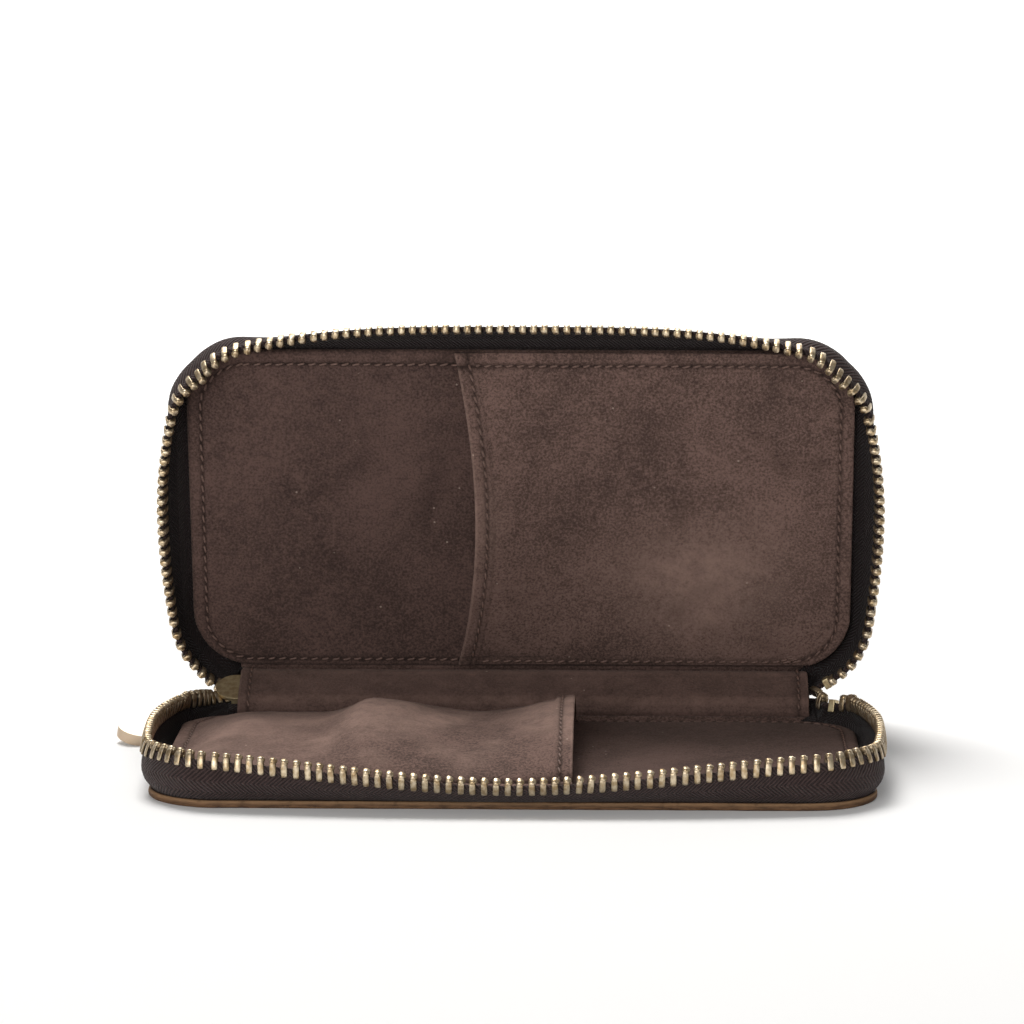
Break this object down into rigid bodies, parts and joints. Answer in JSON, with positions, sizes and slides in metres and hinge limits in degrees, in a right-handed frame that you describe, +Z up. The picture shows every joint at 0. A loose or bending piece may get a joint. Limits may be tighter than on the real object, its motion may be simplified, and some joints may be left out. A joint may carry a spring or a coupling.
{
  "type": "watch travel case",
  "caption": "Zip-around leather case for wristwatches, open with its lid standing: suede lining, stitched-on pockets, folding spine, metal zip teeth, slider and pull tab.",
  "frame": {"origin": "middle of the base's underside, on the surface that the case stands on", "axes": "+X along the case, the slider at the -X end of the spine; +Y from the free front edge to the folded side; +Z up"},
  "size_m": [0.1675, 0.1085, 0.0913],
  "materials": {
    "oiled_leather": "oiled pull-up leather with raw cut edges",
    "suede": "brushed suede",
    "board": "pressed fibre board",
    "foam": "thin closed-cell foam",
    "zip_tape": "herringbone woven tape",
    "antique_brass": "antique, rubbed bright on its edges",
    "pale_brass": "pale, smooth and worn"
  },
  "bodies": {
    "base": {"base_cover": "oiled_leather", "base_board": "board", "base_foam": "foam", "base_lining": "suede", "base_pocket": "suede", "base_tape": "zip_tape", "base_teeth": "antique_brass", "base_top_stop": "antique_brass"},
    "spine": {"spine_leather": "oiled_leather", "spine_foam": "foam", "spine_lining": "suede", "tape_tails_left": "zip_tape", "tape_tails_right": "zip_tape", "chain_end": "antique_brass", "bottom_stop": "antique_brass"},
    "slider": {"slider_body": "antique_brass", "slider_bail": "antique_brass"},
    "pull": {"pull_tab": "pale_brass"},
    "lid": {"lid_cover": "oiled_leather", "lid_board": "board", "lid_foam": "foam", "lid_lining": "suede", "lid_pocket": "suede", "lid_tape": "zip_tape", "lid_teeth": "antique_brass", "lid_top_stop": "antique_brass"}
  },
  "joints": [
    {"name": "spine_fold", "type": "hinge", "parent": "base", "child": "spine", "pos_m": [0, 0.03965, 0.0008], "axis": [1, 0, 0], "range_deg": [-24, 66]},
    {"name": "lid_fold", "type": "hinge", "parent": "spine", "child": "lid", "pos_m": [0, 0.06048, 0.01007], "axis": [1, 0, 0], "range_deg": [-79, 11]},
    {"name": "slider_travel", "type": "slide", "parent": "spine", "child": "slider", "axis": [-1, 0, 0], "range_m": [0, 0.003]},
    {"name": "pull_swing", "type": "hinge", "parent": "slider", "child": "pull", "pos_m": [-0.06355, 0.05098, 0.00338], "axis": [0.7431, -0.6113, -0.2722], "range_deg": [0, 110]}
  ]
}
